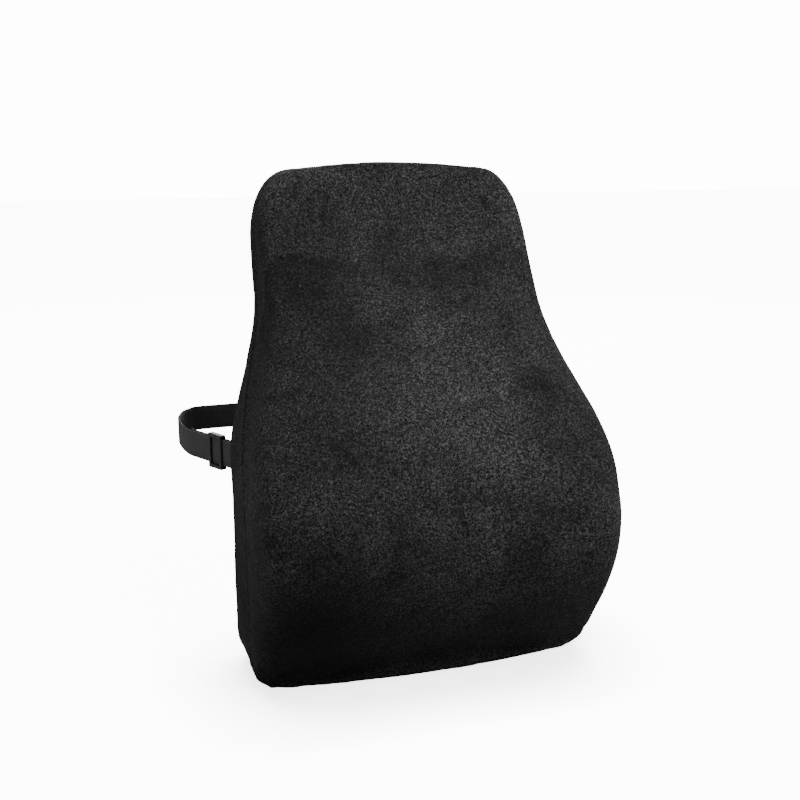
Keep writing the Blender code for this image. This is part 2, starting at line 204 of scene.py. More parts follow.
def backCurve(z):
    sweep = smoothStep(z, cushion["sweepStart"], cushion["height"])
    return cushion["backPlane"] + cushion["backSweep"] * sweep


def edgeDepth(x, z):
    fall = smoothStep(z, cushion["bandTaperStart"], cushion["bandTaperEnd"])
    band = cushion["bandLowDepth"] + (cushion["bandHighDepth"] - cushion["bandLowDepth"]) * fall
    bow = cushion["footBow"] * (1.0 - (x / halfWidth(z)) ** 2)
    return band + bow * (1.0 - smoothStep(z, 0.0, cushion["lumbarHeight"]))


def frontY(x, z, ring):
    lumbar, full = cushion["lumbarHeight"], cushion["lumbarDepth"]
    rise = np.sin(np.pi / 2 * np.clip(z, 0.0, lumbar) / lumbar)
    below = cushion["footDepth"] + (full - cushion["footDepth"]) * rise
    above = full + (cushion["topDepth"] - full) * smoothStep(z, lumbar, cushion["height"])
    edge = edgeDepth(x, z)
    # Filled cloth stands at least as far forward as its seam, which rounds the foot
    soft = cushion["footSoftness"]
    middle = soft * np.logaddexp(np.where(z < lumbar, below, above) / soft, edge / soft)
    wing = cushion["wingSwell"] * (x / halfWidth(z)) ** 2 * smoothStep(z, 0.0, lumbar)
    crown = np.clip(1.0 - ring ** cushion["crownPower"], 0.0, 1.0) ** cushion["crownFullness"]
    return backCurve(z) - (edge + (middle + wing - edge) * crown)


def backY(x, z, ring):
    return backCurve(z) + 0.0 * ring


def makeOutline(steps):
    # Closed outline seen from the front, its running length, and the length at each corner
    low = cushion["footCornerRise"]
    high = cushion["height"] - cushion["topArch"] - cushion["topCornerDrop"]
    flat = cushion["footFlatHalf"]
    power = 2 / cushion["cornerPower"]
    t = np.arange(steps) / steps
    turn = np.pi / 2 * t
    foot = np.column_stack((flat * t, 0.0 * t))
    reach = halfWidth(low) - flat
    corner = np.column_stack((flat + reach * np.sin(turn) ** power, low * (1 - np.cos(turn) ** power)))
    rise = low + (high - low) * t
    side = np.column_stack((halfWidth(rise), rise))
    inner = halfWidth(high) - cushion["topCornerReach"]
    shoulder = np.column_stack((inner + cushion["topCornerReach"] * np.cos(turn) ** power,
                                high + cushion["topCornerDrop"] * np.sin(turn) ** power))
    x = inner * (1 - np.append(t, 1.0))
    top = np.column_stack((x, cushion["height"] - cushion["topArch"] * (x / inner) ** 2))
    right = np.vstack((foot, corner, side, shoulder, top))
    left = right[-2::-1] * (-1, 1)
    points = np.vstack((right, left))
    run = np.append(0.0, np.cumsum(np.linalg.norm(np.diff(points, axis=0), axis=1)))
    lowCorner, highCorner = run[steps + steps // 2], run[3 * steps + steps // 2]
    corners = (lowCorner, highCorner, run[-1] - highCorner, run[-1] - lowCorner)
    return points, run, corners


outline, outlineRun, outlineCorners = makeOutline(160)


def outlineAt(length):
    length = np.mod(length, outlineRun[-1])
    return np.column_stack((np.interp(length, outlineRun, outline[:, 0]),
                            np.interp(length, outlineRun, outline[:, 1])))


# Rows of the cloth mesh: close together at a seam, so the seam can roll in
seamRows = np.array((0.0, 0.7, 1.4, 2.2, 3.2, 4.5, 6.2, 8.5, 11.5, 15.0)) * mm


def gridPlaces(half):
    # A square grid pulled into the outline: each point's ring, and how far round its spoke is
    j, i = [a.ravel() for a in np.mgrid[-half:half + 1, -half:half + 1]]
    ring = np.maximum(abs(i), abs(j))
    m = np.maximum(ring, 1)
    lowR, highR, highL, lowL = outlineCorners
    around = np.select(
        [(j == -m) & (i >= 0), i == m, j == m, i == -m],
        [i / m * lowR, lowR + (j + m) / (2 * m) * (highR - lowR),
         highR + (m - i) / (2 * m) * (highL - highR), highL + (m - j) / (2 * m) * (lowL - highL)],
        lowL + (i + m) / m * (outlineRun[-1] - lowL))
    return ring, around


def makeSheet(half, surface, samples=320):
    # One face of the cushion, with its rows at set distances from the seam
    ring, around = gridPlaces(half)
    edge = outlineAt(around)
    middle = cushion["centreHeight"]
    way = np.linspace(0.0, 1.0, samples)
    spoke = 1.0 - way ** 5
    points = np.zeros((len(ring), 3))
    fromSeam = np.zeros(len(ring))
    last = len(seamRows) - 1
    for level in range(half + 1):
        chosen = np.flatnonzero(ring == level)
        x = edge[chosen, :1] * spoke
        z = middle + (edge[chosen, 1:] - middle) * spoke
        y = surface(x, z, spoke)
        steps = np.sqrt(np.diff(x) ** 2 + np.diff(y) ** 2 + np.diff(z) ** 2)
        run = np.hstack((np.zeros((len(chosen), 1)), np.cumsum(steps, axis=1)))
        k = half - level
        if k <= last:
            target = np.full(len(chosen), seamRows[k])
        else:
            target = seamRows[last] + (run[:, -1] - seamRows[last]) * (k - last) / (half - last)
        at = np.array([np.interp(d, r, way) for d, r in zip(target, run)])
        share = 1.0 - at ** 5
        px = edge[chosen, 0] * share
        pz = middle + (edge[chosen, 1] - middle) * share
        points[chosen] = np.column_stack((px, surface(px, pz, share), pz))
        fromSeam[chosen] = target
    return points, fromSeam, ring, around


def gridFaces(half, flipped):
    n = 2 * half + 1
    faces = []
    for row in range(n - 1):
        for column in range(n - 1):
            a = row * n + column
            face = (a, a + 1, a + n + 1, a + n)
            faces.append(face[::-1] if flipped else face)
    return faces


def makeBody(half, bandRows):
    # The whole cushion as one closed mesh, with each point's distance to the two seams
    front, frontGap, ring, around = makeSheet(half, frontY)
    back, backGap, _, _ = makeSheet(half, backY)
    rim = np.flatnonzero(ring == half)
    rim = rim[np.argsort(around[rim])]
    places = around[rim]
    count = len(front)
    rows = [rim]
    points = [front, back]
    far = np.full(count, 1.0)
    toFront, toBack = [frontGap, far], [far, backGap]
    start = 2 * count
    startEdge, endEdge = front[rim], back[rim]
    depth = np.linalg.norm(endEdge - startEdge, axis=1)
    near = seamRows[1:7]
    inner = bandRows - 2 * len(near)
    for k in range(bandRows):
        if k < len(near):
            run = near[k] + 0.0 * depth
        elif k >= bandRows - len(near):
            run = depth - near[bandRows - 1 - k]
        else:
            share = (k - len(near) + 1) / (inner + 1)
            run = near[-1] + (depth - 2 * near[-1]) * share
        points.append(startEdge + (endEdge - startEdge) * (run / depth)[:, None])
        toFront.append(run)
        toBack.append(depth - run)
        rows.append(np.arange(start, start + len(rim)))
        start += len(rim)
    rows.append(rim + count)
    bandFaces = []
    for a, b in zip(rows, rows[1:]):
        c, d = np.roll(b, -1), np.roll(a, -1)
        bandFaces += list(zip(a.tolist(), b.tolist(), c.tolist(), d.tolist()))
    faces = {"front": gridFaces(half, False), "band": bandFaces,
             "back": [tuple(v + count for v in f) for f in gridFaces(half, True)]}
    roundAll = np.concatenate((around, around) + (places,) * bandRows)
    return {"points": np.vstack(points), "faces": faces, "toFront": np.concatenate(toFront),
            "toBack": np.concatenate(toBack), "around": roundAll, "rim": rim, "backRim": rim + count}


def allFaces(body):
    return body["faces"]["front"] + body["faces"]["band"] + body["faces"]["back"]


# Cloth: the filled cover swells a little between its pinned seams

swell = {
    "voxel": 6 * mm, "pressure": 14.0, "frames": 20, "limit": 3.2 * mm, "sink": 0.3 * mm,
    "stiffness": 40, "pinReach": 7 * mm, "zipCalm": 30 * mm, "reach": 7 * mm, "neighbours": 8,
}


def clothSwell(body):
    # Returns how far the cloth simulation moves each point of the body
    blank = addPiece("swellStart", plainMesh("swellStart", body["points"], allFaces(body)), None)
    remesh = blank.modifiers.new("even", "REMESH")
    remesh.mode = "VOXEL"
    remesh.voxel_size = swell["voxel"]
    blank = addPiece("swellCloth", applied(blank), None)
    start = coordinates(blank.data)
    seams = np.vstack((body["points"][body["rim"]], body["points"][body["backRim"]]))
    tree = pointTree(seams)
    held = [k for k, p in enumerate(start)
            if p[2] < swell["voxel"] or tree.find(p)[2] < swell["pinReach"]]
    blank.vertex_groups.new(name="held").add(held, 1.0, "REPLACE")
    cloth = blank.modifiers.new("cloth", "CLOTH")
    cloth.settings.vertex_group_mass = "held"
    cloth.settings.use_pressure = True
    cloth.settings.uniform_pressure_force = swell["pressure"]
    cloth.settings.tension_stiffness = swell["stiffness"]
    cloth.settings.compression_stiffness = swell["stiffness"]
    cloth.settings.effector_weights.gravity = 0.0
    cloth.point_cache.frame_start = 1
    cloth.point_cache.frame_end = swell["frames"]
    scene = bpy.context.scene
    for number in range(1, swell["frames"] + 1):
        scene.frame_set(number)
    outward = normals(blank.data)
    moved = coordinates(applied(blank)) - start
    scene.frame_set(1)
    # The foam holds the cloth out: it can lift off, but it hardly sinks in
    rise = (moved * outward).sum(axis=1)
    moved += outward * (np.maximum(rise, -swell["sink"]) - rise)[:, None]
    length = np.linalg.norm(moved, axis=1)
    print("cloth: moved %.1f mm at most, %.1f mm on average" % (length.max() / mm, length.mean() / mm))
    moved *= (swell["limit"] * np.tanh(length / swell["limit"]) / np.maximum(length, 1e-9))[:, None]
    tree = pointTree(start)
    result = np.zeros_like(body["points"])
    for k, p in enumerate(body["points"]):
        found = tree.find_n(p, swell["neighbours"])
        weight = np.exp(-(np.array([f[2] for f in found]) / swell["reach"]) ** 2)
        result[k] = weight @ moved[[f[1] for f in found]] / weight.sum()
    return result


# Sewing and handling: seams roll in, the cloth next to them puckers, the pile has soft dents

sewing = {
    "rollIn": 2.2 * mm, "rollWidth": 1.4 * mm, "ridge": 1.0 * mm, "ridgeAt": 4.6 * mm, "ridgeWidth": 2.4 * mm,
    "backRound": 1.1 * mm, "backRoundWidth": 3.4 * mm,
    "pucker": 0.55 * mm, "puckerPitch": 9 * mm, "puckerReach": 7 * mm,
    "lumps": ((70 * mm, 0.9 * mm), (28 * mm, 0.30 * mm)),
    "creaseDepth": 0.75 * mm, "creaseReach": 75 * mm, "creases": 9,
    # x, z, radius and depth of dents that a hand leaves in the front
    "dents": ((-0.007, 0.379, 0.016, 1.2), (-0.030, 0.392, 0.012, 0.8),
              (0.088, 0.262, 0.018, 1.3), (0.099, 0.232, 0.012, 0.9), (-0.070, 0.345, 0.020, 0.7)),
}

zipPlace = {
    "height": sum(c.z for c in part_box("zip_slider")) / 2,
    "halfSlot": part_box("zip_stop_right")[1].x + 1.2 * mm,
    "slotRise": 5.2 * mm, "hemWidth": 12 * mm, "hemRise": 1.5 * mm, "hemEase": 7 * mm,
}


def seamProfile(gap):
    roll = -sewing["rollIn"] * np.exp(-(gap / sewing["rollWidth"]) ** 2)
    return roll + sewing["ridge"] * np.exp(-((gap - sewing["ridgeAt"]) / sewing["ridgeWidth"]) ** 2)


def zipWindow(points, margin, ease):
    # 1 over the zip's placket, easing to 0 outside it; only on the back
    outX = abs(points[:, 0]) - zipPlace["halfSlot"] - margin
    outZ = abs(points[:, 2] - zipPlace["height"]) - zipPlace["hemWidth"] - margin
    out = np.hypot(np.maximum(outX, 0.0), np.maximum(outZ, 0.0))
    return (1.0 - smoothStep(out, 0.0, ease)) * (points[:, 1] > cushion["backPlane"] - 5 * mm)


def softMoves(body, swollen):
    points = body["points"] + swollen * (1.0 - zipWindow(body["points"], 0.0, swell["zipCalm"]))[:, None]
    mesh = plainMesh("softMoves", points, allFaces(body))
    out = normals(mesh)
    bpy.data.meshes.remove(mesh)
    toFront, toBack, around = body["toFront"], body["toBack"], body["around"]
    lift = seamProfile(toFront) + seamProfile(toBack)
    lift -= sewing["backRound"] * np.exp(-(toBack / sewing["backRoundWidth"]) ** 2)
    gap = np.minimum(toFront, toBack)
    pitch = sewing["puckerPitch"]
    for k, p in enumerate(points):
        if gap[k] < 5 * sewing["puckerReach"]:
            wave = noise.noise(Vector((around[k] / pitch, 3.0 if toFront[k] < toBack[k] else 8.0, 0.0)))
            lift[k] += sewing["pucker"] * wave * math.exp(-gap[k] / sewing["puckerReach"])
        for size, height in sewing["lumps"]:
            lift[k] += height * noise.noise(Vector(p) / size)
    for x, z, radius, depth in sewing["dents"]:
        away = np.hypot(points[:, 0] - x, points[:, 2] - z) / radius
        lift -= depth * mm * np.exp(-away ** 2) * (points[:, 1] < 0.0)
    # Creases run out from the lower front corners, where two seams pull at the cloth
    for side in (-1, 1):
        corner = np.array((side * cushion["footFlatHalf"] * 1.12, 0.012))
        dx, dz = (points[:, 0] - corner[0]) * side, points[:, 2] - corner[1]
        away = np.hypot(dx, dz)
        fan = np.sin(np.arctan2(dz, -dx) * sewing["creases"] + side + 4.0 * away / sewing["creaseReach"])
        window = smoothStep(away, 4 * mm, 16 * mm) * np.exp(-(away / sewing["creaseReach"]) ** 2 * 3.0)
        lift += sewing["creaseDepth"] * fan * window * (points[:, 1] < 0.02) * (side < 0 or 0.6)
    lift += zipPlace["hemRise"] * zipWindow(points, 0.0, zipPlace["hemEase"])
    moved = points + out * lift[:, None]
    moved[:, 2] = np.maximum(moved[:, 2], 0.3 * mm)
    return moved


def cutPanel(name, points, faces, thickness, edgeGap):
    # A panel of the cover with its own thickness; its cut edge stands back from the next panel
    used = np.unique(np.array(faces))
    place = {int(v): k for k, v in enumerate(used)}
    mesh = plainMesh(name, points[used], [[place[v] for v in f] for f in faces])
    bm = bmesh.new()
    bm.from_mesh(mesh)
    moves = []
    for vert in bm.verts:
        inner = [e.other_vert(vert).co for e in vert.link_edges if not e.is_boundary]
        if vert.is_boundary and inner:
            towards = sum(inner, Vector()) / len(inner) - vert.co
            moves.append((vert, towards.normalized() * edgeGap))
    for vert, move in moves:
        vert.co += move
    bm.to_mesh(mesh)
    bm.free()
    piece = addPiece(name, mesh, None)
    wall = piece.modifiers.new("thickness", "SOLIDIFY")
    wall.thickness = thickness
    wall.offset = -1.0
    return piece


# Materials

# The glint colour is a painted highlight of the pile tips, mixed into the base colour
velourLook = {
    "pile": "#050505", "paintedGlint": "#5c5c5c", "fleck": 1.5 * mm, "grain": 0.7 * mm,
    "nap": 75 * mm, "brush": 24 * mm, "lintApart": 17 * mm,
}


def velourMaterial():
    # Knitted polyester velour, brushed: fine wormy flecks of lighter pile tips, partly their own tone and
    # partly a painted highlight where they glint; pile that leans away is dark
    material, tree, shader = newMaterial("brushedVelour", {
        "Roughness": 0.85, "IOR": 1.45, "Specular IOR Level": 0.15, "Sheen Weight": 0.04,
        "Sheen Roughness": 0.45, "Sheen Tint": colour("#b4b4b4")})
    place = objectPlace(tree)
    fleck = noiseNode(tree, place, 1 / velourLook["fleck"], 2.0, Roughness=0.6, Distortion=0.7)
    # Worms: bright where the noise crosses its middle value
    worms = addNode(tree, "ShaderNodeValToRGB", {"Fac": fleck})
    ramp = worms.color_ramp.elements
    ramp[0].position, ramp[0].color = 0.42, (0, 0, 0, 1)
    ramp[1].position, ramp[1].color = 0.58, (0, 0, 0, 1)
    ramp.new(0.5).color = (1, 1, 1, 1)
    sparse = noiseNode(tree, place, 0.8 / velourLook["fleck"], 1.0)
    # The flecks go into the base colour: partly the tips' own lighter tone, partly a painted highlight
    paintedGlint = mathNode(tree, "MULTIPLY", worms.outputs["Color"], rangeNode(tree, sparse, 0.36, 0.66, 0.25, 1.0))
    # Nap: broad brushed areas and smaller hand marks
    broad = noiseNode(tree, place, 1 / velourLook["nap"], 2.0, Distortion=0.8)
    marks = noiseNode(tree, place, 1 / velourLook["brush"], 3.0, Distortion=1.4)
    level = mathNode(tree, "MULTIPLY", rangeNode(tree, broad, 0.3, 0.7, 0.82, 1.15),
                     rangeNode(tree, marks, 0.28, 0.42, 0.72, 1.0))
    # The nap attribute holds handling marks plus painted shade and painted light; nap joins it with the
    # random nap tone
    napAndShadeLevel = addNode(tree, "ShaderNodeAttribute", attribute_name="nap").outputs["Fac"]
    nap = mathNode(tree, "MULTIPLY", level, napAndShadeLevel)
    tone = mixNode(tree, mathNode(tree, "MULTIPLY", paintedGlint, nap),
                   colour(velourLook["pile"]), colour(velourLook["paintedGlint"]))
    shade = addNode(tree, "ShaderNodeVectorMath", {0: tone, 1: nap}, operation="MULTIPLY").outputs[0]
    # Lint: a pale speck here and there
    lint = addNode(tree, "ShaderNodeTexVoronoi", {"Vector": place, "Scale": 1 / velourLook["lintApart"]})
    speck = rangeNode(tree, lint.outputs["Distance"], 0.045, 0.02, 0.0, 0.35)
    fine = noiseNode(tree, place, 1 / velourLook["grain"], 2.0)
    surfaceNodes(tree, shader, mixNode(tree, speck, shade, colour("#8c8c8c")),
                 mathNode(tree, "ADD", fleck, fine), 0.9, 0.8 * mm)
    return material


def webbingMaterial(name, dark, light, ribPitch, alongAxis):
    # Woven elastic: fine ribs across the strip, a faint warp along it, matt and slightly grey
    material, tree, shader = newMaterial(name, {
        "Roughness": 0.72, "IOR": 1.5, "Specular IOR Level": 0.45, "Sheen Weight": 0.1,
        "Sheen Roughness": 0.5, "Sheen Tint": colour("#9a9a9a")})
    place = addNode(tree, "ShaderNodeUVMap", uv_map="strip").outputs["UV"]
    ribs = bandNode(tree, place, ribPitch, alongAxis, Distortion=0.6, Detail=1.0, **{"Detail Scale": 3.0})
    warp = bandNode(tree, place, 0.9 * mm, "Y" if alongAxis == "X" else "X", Distortion=0.3)
    worn = noiseNode(tree, place, 1 / (9 * mm), 3.0)
    cloth = mathNode(tree, "MULTIPLY", ribs, warp)
    tone = mixNode(tree, mathNode(tree, "MULTIPLY", cloth, worn), colour(dark), colour(light))
    surfaceNodes(tree, shader, tone, cloth, 0.5, 0.2 * mm)
    return material


def grainMaterial(name, dark, light, size, finish, strength=0.3, stretch=(1, 1, 1)):
    # A base for moulded, cast and spun finishes: two tones and a relief from one grain size
    material, tree, shader = newMaterial(name, finish)
    place = objectPlace(tree)
    turned = addNode(tree, "ShaderNodeMapping", {"Vector": place, "Scale": stretch}).outputs["Vector"]
    grain = noiseNode(tree, turned, 1 / size, 3.0, Roughness=0.6)
    wear = noiseNode(tree, place, 0.12 / size, 2.0)
    spread = rangeNode(tree, mathNode(tree, "MULTIPLY", grain, wear), 0.12, 0.4)
    rough = finish["Roughness"]
    matt = rangeNode(tree, wear, 0.3, 0.7, rough * 0.85, min(rough * 1.15, 1.0))
    tree.links.new(matt, shader.inputs["Roughness"])
    tone = mixNode(tree, spread, colour(dark), colour(light))
    surfaceNodes(tree, shader, tone, grain, strength, size * 0.3)
    return material


def foamMaterial():
    # Moulded polyurethane memory foam: cream, matt, with open cells of about 0.6 mm
    material, tree, shader = newMaterial("memoryFoam", {
        "Roughness": 0.9, "IOR": 1.5, "Specular IOR Level": 0.2, "Subsurface Weight": 0.1,
        "Subsurface Radius": (2 * mm, 1.5 * mm, 1 * mm)})
    place = objectPlace(tree)
    voronoi = addNode(tree, "ShaderNodeTexVoronoi", {"Vector": place, "Scale": 1 / (0.9 * mm)})
    cells = voronoi.outputs["Distance"]
    patches = noiseNode(tree, place, 1 / (40 * mm), 3.0)
    mixed = mathNode(tree, "MULTIPLY", rangeNode(tree, cells, 0.0, 0.7), patches)
    tone = mixNode(tree, mixed, colour("#cdbf98"), colour("#f0e6c8"))
    surfaceNodes(tree, shader, tone, cells, 0.5, 0.3 * mm)
    return material


def knitMaterial():
    # Warp-knitted polyester liner: off-white, columns of loops 1.2 mm apart
    material, tree, shader = newMaterial("linerKnit", {
        "Roughness": 0.85, "IOR": 1.5, "Specular IOR Level": 0.3, "Sheen Weight": 0.15,
        "Sheen Roughness": 0.5, "Sheen Tint": colour("#ffffff")})
    place = objectPlace(tree)
    columns = bandNode(tree, place, 1.2 * mm, "X")
    courses = bandNode(tree, place, 0.9 * mm, "Z", Distortion=1.5, **{"Detail Scale": 2.0})
    loops = mathNode(tree, "MULTIPLY", columns, courses)
    tone = mixNode(tree, loops, colour("#b9b8b2"), colour("#e8e7e2"))
    surfaceNodes(tree, shader, tone, loops, 0.5, 0.2 * mm)
    return material


def tapeMaterial():
    # Woven polyester zip tape: a herringbone of slanting yarns 0.7 mm apart
    material, tree, shader = newMaterial("zipTapeWeave", {
        "Roughness": 0.8, "IOR": 1.5, "Specular IOR Level": 0.3, "Sheen Weight": 0.1,
        "Sheen Roughness": 0.5, "Sheen Tint": colour("#a0a0a0")})
    apart = addNode(tree, "ShaderNodeSeparateXYZ", {"Vector": objectPlace(tree)}).outputs
    slanted = mathNode(tree, "ADD", apart["X"], mathNode(tree, "PINGPONG", apart["Z"], 1.8 * mm))
    joined = addNode(tree, "ShaderNodeCombineXYZ", {"X": slanted}).outputs["Vector"]
    yarns = bandNode(tree, joined, 0.7 * mm, "X")
    tone = mixNode(tree, yarns, colour("#0c0c0c"), colour("#2c2c2c"))
    surfaceNodes(tree, shader, tone, yarns, 0.6, 0.15 * mm)
    return material


velour = velourMaterial()
webbing = webbingMaterial("wovenElastic", "#222222", "#6c6c6c", 1.1 * mm, "X")
thread = grainMaterial("twistedThread", "#0a0a0a", "#2e2e2e", 0.3 * mm,
                       {"Roughness": 0.6, "IOR": 1.5, "Sheen Weight": 0.1}, 0.5, (1, 1, 3))
plastic = grainMaterial("mouldedAcetal", "#191919", "#3a3a3a", 0.25 * mm,
                        {"Roughness": 0.3, "IOR": 1.48, "Specular IOR Level": 0.5}, 0.15)
nylon = grainMaterial("extrudedNylon", "#0d0d0d", "#272727", 0.3 * mm,
                      {"Roughness": 0.38, "IOR": 1.53}, 0.15)
castZinc = grainMaterial("blackenedZinc", "#282828", "#4c4c4c", 0.2 * mm,
                         {"Roughness": 0.34, "Metallic": 1.0}, 0.2)
steelWire = grainMaterial("blackenedSteelWire", "#1d1d1d", "#3c3c3c", 0.4 * mm,
                          {"Roughness": 0.36, "Metallic": 1.0}, 0.2, (1, 1, 0.3))


# Cover

# Marks in the front's pile: x, z, reach across, reach up, and how dark (under 1) or light. Some are hand
# dents and brushed marks; the rest are painted shade at the foot, the lower left, the left side and the top
# band, and painted light on the middle, where the key light falls
napAndShadeMarks = (
    (-0.115, 0.070, 0.050, 0.045, 0.50), (-0.040, 0.010, 0.120, 0.030, 0.75),
    (0.070, 0.055, 0.060, 0.030, 0.85), (-0.007, 0.385, 0.020, 0.012, 0.60),
    (-0.085, 0.345, 0.030, 0.022, 0.75), (-0.065, 0.300, 0.022, 0.026, 0.75),
    (0.090, 0.262, 0.020, 0.010, 0.60), (-0.085, 0.225, 0.030, 0.018, 0.80),
    (0.010, 0.250, 0.075, 0.100, 1.15), (-0.020, 0.440, 0.140, 0.040, 0.40),
    (0.000, 0.385, 0.140, 0.050, 0.75), (-0.110, 0.110, 0.050, 0.080, 0.65),
    (-0.110, 0.330, 0.050, 0.100, 0.75), (-0.035, 0.420, 0.030, 0.014, 1.25),
)


def paintNapAndShade(mesh):
    points = coordinates(mesh)
    level = np.ones(len(points))
    # Each mark scales the pile's tone; those at the foot, lower left, left side and top band are painted
    # shade, the broad light one on the middle painted light
    for x, z, across, up, tone in napAndShadeMarks:
        away = ((points[:, 0] - x) / across) ** 2 + ((points[:, 2] - z) / up) ** 2
        level *= 1.0 + (tone - 1.0) * np.exp(-away) * (points[:, 1] < cushion["backPlane"] - 5 * mm)
    mesh.attributes.new("nap", "FLOAT", "POINT").data.foreach_set("value", level.astype(np.float32))


coverCloth = {"half": 72, "bandRows": 26, "thickness": 1.2 * mm, "edgeGap": 0.12 * mm}


def boxMesh(low, high):
    bm = bmesh.new()
    size, middle = Vector(high) - Vector(low), (Vector(high) + Vector(low)) / 2
    bmesh.ops.create_cube(bm, size=1.0, matrix=Matrix.Translation(middle) @ Matrix.Diagonal((*size, 1.0)))
    return fromBmesh("box", bm)


def boolean(piece, operation, mesh):
    other = addPiece("tool", mesh, None)
    modifier = piece.modifiers.new(operation.lower(), "BOOLEAN")
    modifier.operation = operation
    modifier.object = other
    return other


def finishSoft(piece, node):
    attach(piece, "cushion")
    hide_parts(node)


def makeCover():
    body = makeBody(coverCloth["half"], coverCloth["bandRows"])
    swollen = clothSwell(body)
    points = softMoves(body, swollen)
    for name, part, node in (("coverFront", "front", "front_panel"), ("coverSideBand", "band", "side_band")):
        piece = cutPanel(name, points, body["faces"][part], coverCloth["thickness"], coverCloth["edgeGap"])
        mesh = applied(piece)
        paintNapAndShade(mesh)
        finishSoft(addPiece(name, mesh, velour), node)
    height, slotHalf, rise = zipPlace["height"], zipPlace["halfSlot"], zipPlace["slotRise"]
    back = cushion["backPlane"]
    for name, node, sign in (("coverBackUpper", "back_panel_upper", 1),
                             ("coverBackLower", "back_panel_lower", -1)):
        piece = cutPanel(name, points, body["faces"]["back"], coverCloth["thickness"], coverCloth["edgeGap"])
        bm = bmesh.new()
        bm.from_mesh(piece.data)
        everything = bm.verts[:] + bm.edges[:] + bm.faces[:]
        bmesh.ops.bisect_plane(bm, geom=everything, plane_no=(0, 0, -sign), clear_outer=True,
                               plane_co=(0, 0, height + sign * coverCloth["edgeGap"]))
        for vert in bm.verts:
            if abs(vert.co.z - height) < 2 * coverCloth["edgeGap"]:
                vert.co.y -= sewing["rollIn"] * 0.6
        bm.to_mesh(piece.data)
        bm.free()
        slot = boolean(piece, "DIFFERENCE", boxMesh((-slotHalf, back - 20 * mm, height - rise),
                                                    (slotHalf, back + 20 * mm, height + rise)))
        mesh = applied(piece)
        bpy.data.objects.remove(slot)
        paintNapAndShade(mesh)
        finishSoft(addPiece(name, mesh, velour), node)
    print("cover: four panels sewn round %d points" % len(points))
    return body, points


body, coverPoints = makeCover()


# Foam and its liner, inside the cover

padding = {"half": 36, "bandRows": 22, "foamInset": 3.8 * mm, "linerInset": 3.2 * mm, "linerWall": 0.3 * mm,
           "cornerEase": 2.6 * mm, "cornerReach": 8 * mm,
           "slitHalf": 100 * mm, "slitLow": 55 * mm, "slitHigh": 85 * mm}


def insetBody(name, inset):
    plain = makeBody(padding["half"], padding["bandRows"])
    mesh = plainMesh(name, plain["points"], allFaces(plain))
    gap = np.minimum(plain["toFront"], plain["toBack"])
    inset = inset + padding["cornerEase"] * np.exp(-(gap / padding["cornerReach"]) ** 2)
    moved = plain["points"] - normals(mesh) * inset[:, None]
    mesh.vertices.foreach_set("co", moved.ravel())
    mesh.update()
    return mesh


def makePadding():
    foam = addPiece("foamCore", insetBody("foamCore", padding["foamInset"]), foamMaterial())
    finishSoft(foam, "foam_core")
    sleeve = addPiece("linerSleeve", insetBody("linerSleeve", padding["linerInset"]), None)
    wall = sleeve.modifiers.new("thickness", "SOLIDIFY")
    wall.thickness = padding["linerWall"]
    wall.offset = -1.0
    inside = cushion["backPlane"] - 10 * mm
    slitLow = (-padding["slitHalf"], inside, padding["slitLow"])
    slitHigh = (padding["slitHalf"], cushion["backPlane"], padding["slitHigh"])
    slit = boolean(sleeve, "DIFFERENCE", boxMesh(slitLow, slitHigh))
    mesh = applied(sleeve)
    bpy.data.objects.remove(slit)
    finishSoft(addPiece("linerSleeve", mesh, knitMaterial()), "inner_liner")
    print("padding: foam and liner made")


makePadding()


# Geometry Nodes for what repeats: stitches along a line, coil teeth along a tape

def newTree(name, sizes):
    tree = bpy.data.node_groups.new(name, "GeometryNodeTree")
    tree.interface.new_socket("Geometry", in_out="INPUT", socket_type="NodeSocketGeometry")
    for label, kind, value in sizes:
        tree.interface.new_socket(label, in_out="INPUT", socket_type=kind).default_value = value
    tree.interface.new_socket("Material", in_out="INPUT", socket_type="NodeSocketMaterial")
    tree.interface.new_socket("Geometry", in_out="OUTPUT", socket_type="NodeSocketGeometry")
    return tree, tree.nodes.new("NodeGroupInput").outputs


def closeTree(tree, made, material):
    real = addNode(tree, "GeometryNodeRealizeInstances", {0: made})
    painted = addNode(tree, "GeometryNodeSetMaterial", {"Geometry": real.outputs[0], "Material": material})
    smooth = addNode(tree, "GeometryNodeSetShadeSmooth", {0: painted.outputs[0]})
    addNode(tree, "NodeGroupOutput", {0: smooth.outputs[0]})
    return tree


def stitchTree():
    tree, given = newTree("stitchesAlongLine", (
        ("Pitch", "NodeSocketFloat", 3 * mm), ("Stitch Length", "NodeSocketFloat", 2.4 * mm),
        ("Thread Radius", "NodeSocketFloat", 0.35 * mm)))
    line = addNode(tree, "GeometryNodeMeshToCurve", {0: given["Geometry"]})
    spots = addNode(tree, "GeometryNodeCurveToPoints", {
        "Curve": line.outputs[0], "Length": given["Pitch"]}, mode="LENGTH")
    ball = addNode(tree, "GeometryNodeMeshUVSphere", {"Segments": 8, "Rings": 6, "Radius": 1.0})
    half = addNode(tree, "ShaderNodeMath", {0: given["Stitch Length"], 1: 0.5}, operation="MULTIPLY")
    size = addNode(tree, "ShaderNodeCombineXYZ", {
        "X": given["Thread Radius"], "Y": given["Thread Radius"], "Z": half.outputs[0]})
    stitch = addNode(tree, "GeometryNodeTransform", {"Geometry": ball.outputs[0], "Scale": size.outputs[0]})
    row = addNode(tree, "GeometryNodeInstanceOnPoints", {
        "Points": spots.outputs["Points"], "Instance": stitch.outputs[0],
        "Rotation": spots.outputs["Rotation"]})
    return closeTree(tree, row.outputs[0], given["Material"])


